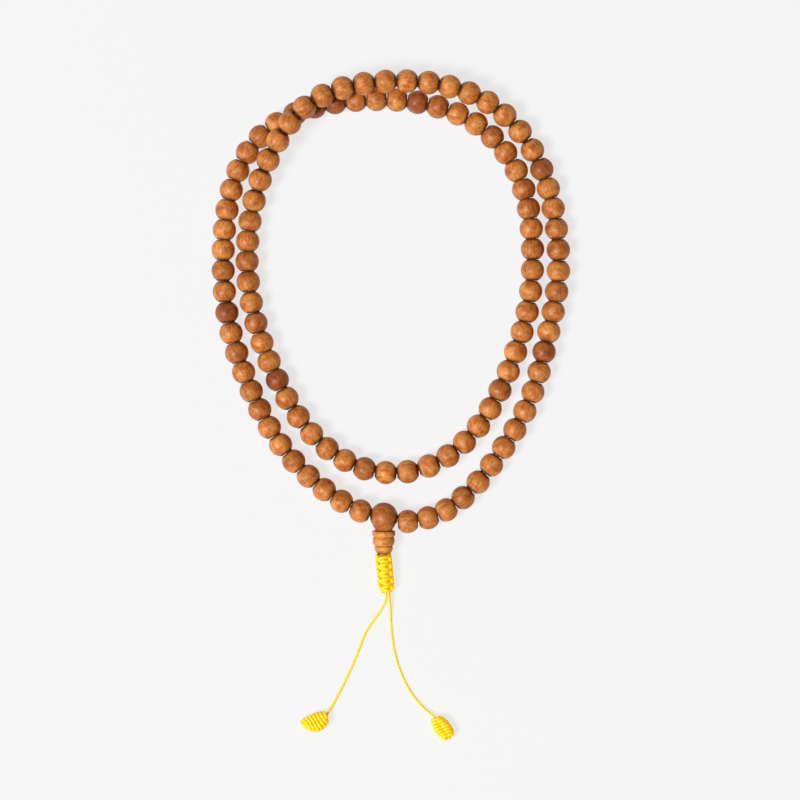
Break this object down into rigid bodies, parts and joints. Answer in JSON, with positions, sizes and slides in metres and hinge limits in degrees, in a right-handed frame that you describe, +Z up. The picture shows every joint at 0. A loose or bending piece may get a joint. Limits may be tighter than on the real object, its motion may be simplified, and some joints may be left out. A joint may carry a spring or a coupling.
{
  "type": "mala prayer beads",
  "caption": "Closed string of turned wooden prayer beads laid in a double round, with a larger guru bead, stepped tower bead, knotted cord sleeve and knotted cord tails.",
  "frame": {"origin": "on the surface that the beads lie on, under the middle of the strand and pendant, the free tails left out", "axes": "+Z up from the surface, +Y from the pendant towards the far side of the rounds, +X to the right seen from above"},
  "size_m": [0.125, 0.2339, 0.0156],
  "materials": {
    "bead_wood": "fine-grained turned wood, satin polish",
    "guru_wood": "fine-grained turned wood, satin polish",
    "yellow_cord": "twisted glossy cord",
    "knotted_cord": "twisted glossy cord tied in close knots"
  },
  "bodies": {
    "strand": {"strand_cord": "yellow_cord", "beads_019_to_024": "bead_wood", "beads_025_to_030": "bead_wood", "beads_031_to_036": "bead_wood", "beads_037_to_042": "bead_wood", "beads_043_to_048": "bead_wood", "beads_049_to_054": "bead_wood", "beads_055_to_060": "bead_wood", "beads_061_to_066": "bead_wood", "beads_067_to_072": "bead_wood", "beads_073_to_078": "bead_wood", "beads_079_to_084": "bead_wood", "beads_085_to_090": "bead_wood"},
    "pendant": {"guru_bead": "guru_wood", "core_cord_left": "yellow_cord", "core_cord_right": "yellow_cord", "knot_sleeve": "knotted_cord"},
    "tower": {"tower_bead": "guru_wood"},
    "left_tail": {"tail_cord_left": "yellow_cord"},
    "left_knot": {"end_knot_left": "knotted_cord"},
    "right_tail": {"tail_cord_right": "yellow_cord"},
    "right_knot": {"end_knot_right": "knotted_cord"},
    "bead_001": {"bead_001": "bead_wood"},
    "bead_002": {"bead_002": "bead_wood"},
    "bead_003": {"bead_003": "bead_wood"},
    "bead_004": {"bead_004": "bead_wood"},
    "bead_005": {"bead_005": "bead_wood"},
    "bead_006": {"bead_006": "bead_wood"},
    "bead_007": {"bead_007": "bead_wood"},
    "bead_008": {"bead_008": "bead_wood"},
    "bead_009": {"bead_009": "bead_wood"},
    "bead_010": {"bead_010": "bead_wood"},
    "bead_011": {"bead_011": "bead_wood"},
    "bead_012": {"bead_012": "bead_wood"},
    "bead_013": {"bead_013": "bead_wood"},
    "bead_014": {"bead_014": "bead_wood"},
    "bead_015": {"bead_015": "bead_wood"},
    "bead_016": {"bead_016": "bead_wood"},
    "bead_017": {"bead_017": "bead_wood"},
    "bead_018": {"bead_018": "bead_wood"},
    "bead_091": {"bead_091": "bead_wood"},
    "bead_092": {"bead_092": "bead_wood"},
    "bead_093": {"bead_093": "bead_wood"},
    "bead_094": {"bead_094": "bead_wood"},
    "bead_095": {"bead_095": "bead_wood"},
    "bead_096": {"bead_096": "bead_wood"},
    "bead_097": {"bead_097": "bead_wood"},
    "bead_098": {"bead_098": "bead_wood"},
    "bead_099": {"bead_099": "bead_wood"},
    "bead_100": {"bead_100": "bead_wood"},
    "bead_101": {"bead_101": "bead_wood"},
    "bead_102": {"bead_102": "bead_wood"},
    "bead_103": {"bead_103": "bead_wood"},
    "bead_104": {"bead_104": "bead_wood"},
    "bead_105": {"bead_105": "bead_wood"},
    "bead_106": {"bead_106": "bead_wood"},
    "bead_107": {"bead_107": "bead_wood"},
    "bead_108": {"bead_108": "bead_wood"}
  },
  "joints": [
    {"name": "guru_pendant_flip", "type": "hinge", "parent": "strand", "child": "pendant", "pos_m": [-0.00231, -0.0648, 0.00478], "axis": [-0.9703, 0.2419, 0], "range_deg": [0, 90]},
    {"name": "guru_tower_spin", "type": "hinge", "parent": "pendant", "child": "tower", "pos_m": [-0.0023, -0.064, 0.00485], "axis": [-0.0074, -0.9956, -0.0929], "continuous": true},
    {"name": "left_tail_droop", "type": "hinge", "parent": "pendant", "child": "left_tail", "pos_m": [-0.00101, -0.09199, 0.00237], "axis": [-0.9703, 0.2419, 0], "range_deg": [-109, 0.5]},
    {"name": "right_tail_droop", "type": "hinge", "parent": "pendant", "child": "right_tail", "pos_m": [-0.00101, -0.09199, 0.00237], "axis": [-0.9703, 0.2419, 0], "range_deg": [-109, 0.5]},
    {"name": "left_knot_swing", "type": "hinge", "parent": "left_tail", "child": "left_knot", "pos_m": [-0.0225, -0.1337, 0.00225], "axis": [0, 0, 1], "range_deg": [-30, 30]},
    {"name": "right_knot_swing", "type": "hinge", "parent": "right_tail", "child": "right_knot", "pos_m": [0.0151, -0.1341, 0.00225], "axis": [0, 0, 1], "range_deg": [-30, 30]},
    {"name": "spin_bead_001", "type": "hinge", "parent": "strand", "child": "bead_001", "pos_m": [-0.01066, -0.06207, 0.00458], "axis": [-0.9124, 0.4057, -0.0539], "continuous": true},
    {"name": "spin_bead_002", "type": "hinge", "parent": "strand", "child": "bead_002", "pos_m": [-0.01709, -0.05874, 0.00426], "axis": [-0.8588, 0.5112, -0.0347], "continuous": true},
    {"name": "spin_bead_003", "type": "hinge", "parent": "strand", "child": "bead_003", "pos_m": [-0.02311, -0.05469, 0.00407], "axis": [-0.7972, 0.6034, -0.0183], "continuous": true},
    {"name": "spin_bead_004", "type": "hinge", "parent": "strand", "child": "bead_004", "pos_m": [-0.02868, -0.04999, 0.004], "axis": [-0.7309, 0.6825, 0], "continuous": true},
    {"name": "spin_bead_005", "type": "hinge", "parent": "strand", "child": "bead_005", "pos_m": [-0.03379, -0.04473, 0.004], "axis": [-0.6596, 0.7516, 0], "continuous": true},
    {"name": "spin_bead_006", "type": "hinge", "parent": "strand", "child": "bead_006", "pos_m": [-0.03836, -0.03898, 0.004], "axis": [-0.5834, 0.8122, 0], "continuous": true},
    {"name": "spin_bead_007", "type": "hinge", "parent": "strand", "child": "bead_007", "pos_m": [-0.04229, -0.03294, 0.004], "axis": [-0.5061, 0.8625, 0.0015], "continuous": true},
    {"name": "spin_bead_008", "type": "hinge", "parent": "strand", "child": "bead_008", "pos_m": [-0.04565, -0.0267, 0.00401], "axis": [-0.4411, 0.8975, -0.0005], "continuous": true},
    {"name": "spin_bead_009", "type": "hinge", "parent": "strand", "child": "bead_009", "pos_m": [-0.04861, -0.02026, 0.004], "axis": [-0.3927, 0.9197, -0.001], "continuous": true},
    {"name": "spin_bead_010", "type": "hinge", "parent": "strand", "child": "bead_010", "pos_m": [-0.05128, -0.01365, 0.004], "axis": [-0.3561, 0.9345, 0], "continuous": true},
    {"name": "spin_bead_011", "type": "hinge", "parent": "strand", "child": "bead_011", "pos_m": [-0.05366, -0.00688, 0.004], "axis": [-0.308, 0.9514, 0], "continuous": true},
    {"name": "spin_bead_012", "type": "hinge", "parent": "strand", "child": "bead_012", "pos_m": [-0.05563, 0.00002, 0.004], "axis": [-0.2416, 0.9704, 0], "continuous": true},
    {"name": "spin_bead_013", "type": "hinge", "parent": "strand", "child": "bead_013", "pos_m": [-0.05709, 0.00714, 0.004], "axis": [-0.1604, 0.9871, 0.0001], "continuous": true},
    {"name": "spin_bead_014", "type": "hinge", "parent": "strand", "child": "bead_014", "pos_m": [-0.058, 0.01445, 0.004], "axis": [-0.0859, 0.9963, 0], "continuous": true},
    {"name": "spin_bead_015", "type": "hinge", "parent": "strand", "child": "bead_015", "pos_m": [-0.05841, 0.02181, 0.004], "axis": [-0.0249, 0.9997, -0.0001], "continuous": true},
    {"name": "spin_bead_016", "type": "hinge", "parent": "strand", "child": "bead_016", "pos_m": [-0.0584, 0.02902, 0.004], "axis": [0.0272, 0.9996, 0], "continuous": true},
    {"name": "spin_bead_017", "type": "hinge", "parent": "strand", "child": "bead_017", "pos_m": [-0.05799, 0.03605, 0.004], "axis": [0.0897, 0.996, 0], "continuous": true},
    {"name": "spin_bead_018", "type": "hinge", "parent": "strand", "child": "bead_018", "pos_m": [-0.05709, 0.04303, 0.004], "axis": [0.1671, 0.9859, 0], "continuous": true},
    {"name": "spin_bead_091", "type": "hinge", "parent": "strand", "child": "bead_091", "pos_m": [0.05796, 0.03635, 0.00401], "axis": [0.1255, -0.9921, 0.0028], "continuous": true},
    {"name": "spin_bead_092", "type": "hinge", "parent": "strand", "child": "bead_092", "pos_m": [0.05861, 0.02902, 0.00402], "axis": [0.0504, -0.9987, -0.0009], "continuous": true},
    {"name": "spin_bead_093", "type": "hinge", "parent": "strand", "child": "bead_093", "pos_m": [0.05865, 0.02168, 0.00401], "axis": [-0.0399, -0.9992, -0.0019], "continuous": true},
    {"name": "spin_bead_094", "type": "hinge", "parent": "strand", "child": "bead_094", "pos_m": [0.05802, 0.01447, 0.004], "axis": [-0.1353, -0.9908, 0], "continuous": true},
    {"name": "spin_bead_095", "type": "hinge", "parent": "strand", "child": "bead_095", "pos_m": [0.05682, 0.00744, 0.004], "axis": [-0.1995, -0.9799, 0], "continuous": true},
    {"name": "spin_bead_096", "type": "hinge", "parent": "strand", "child": "bead_096", "pos_m": [0.05531, 0.00047, 0.004], "axis": [-0.2262, -0.9741, 0], "continuous": true},
    {"name": "spin_bead_097", "type": "hinge", "parent": "strand", "child": "bead_097", "pos_m": [0.05366, -0.00655, 0.004], "axis": [-0.2295, -0.9733, 0], "continuous": true},
    {"name": "spin_bead_098", "type": "hinge", "parent": "strand", "child": "bead_098", "pos_m": [0.05188, -0.01361, 0.004], "axis": [-0.2607, -0.9654, 0], "continuous": true},
    {"name": "spin_bead_099", "type": "hinge", "parent": "strand", "child": "bead_099", "pos_m": [0.04971, -0.02056, 0.004], "axis": [-0.3332, -0.9429, 0], "continuous": true},
    {"name": "spin_bead_100", "type": "hinge", "parent": "strand", "child": "bead_100", "pos_m": [0.04691, -0.0273, 0.004], "axis": [-0.4335, -0.9011, 0.0011], "continuous": true},
    {"name": "spin_bead_101", "type": "hinge", "parent": "strand", "child": "bead_101", "pos_m": [0.04345, -0.03376, 0.00401], "axis": [-0.511, -0.8596, 0.0005], "continuous": true},
    {"name": "spin_bead_102", "type": "hinge", "parent": "strand", "child": "bead_102", "pos_m": [0.03954, -0.03995, 0.00401], "axis": [-0.556, -0.8312, -0.0016], "continuous": true},
    {"name": "spin_bead_103", "type": "hinge", "parent": "strand", "child": "bead_103", "pos_m": [0.03528, -0.04608, 0.004], "axis": [-0.5848, -0.8112, 0], "continuous": true},
    {"name": "spin_bead_104", "type": "hinge", "parent": "strand", "child": "bead_104", "pos_m": [0.03061, -0.05206, 0.004], "axis": [-0.6452, -0.764, 0], "continuous": true},
    {"name": "spin_bead_105", "type": "hinge", "parent": "strand", "child": "bead_105", "pos_m": [0.02533, -0.05748, 0.004], "axis": [-0.7469, -0.665, 0], "continuous": true},
    {"name": "spin_bead_106", "type": "hinge", "parent": "strand", "child": "bead_106", "pos_m": [0.01946, -0.06175, 0.00407], "axis": [-0.8655, -0.5004, 0.0207], "continuous": true},
    {"name": "spin_bead_107", "type": "hinge", "parent": "strand", "child": "bead_107", "pos_m": [0.01308, -0.06453, 0.00428], "axis": [-0.956, -0.2911, 0.0373], "continuous": true},
    {"name": "spin_bead_108", "type": "hinge", "parent": "strand", "child": "bead_108", "pos_m": [0.00623, -0.0658, 0.00459], "axis": [-0.996, -0.0717, 0.0526], "continuous": true}
  ],
  "couplings": [
    {"joint": "left_tail_droop", "follows": "guru_pendant_flip", "ratio": -1.2},
    {"joint": "right_tail_droop", "follows": "guru_pendant_flip", "ratio": -1.2}
  ]
}
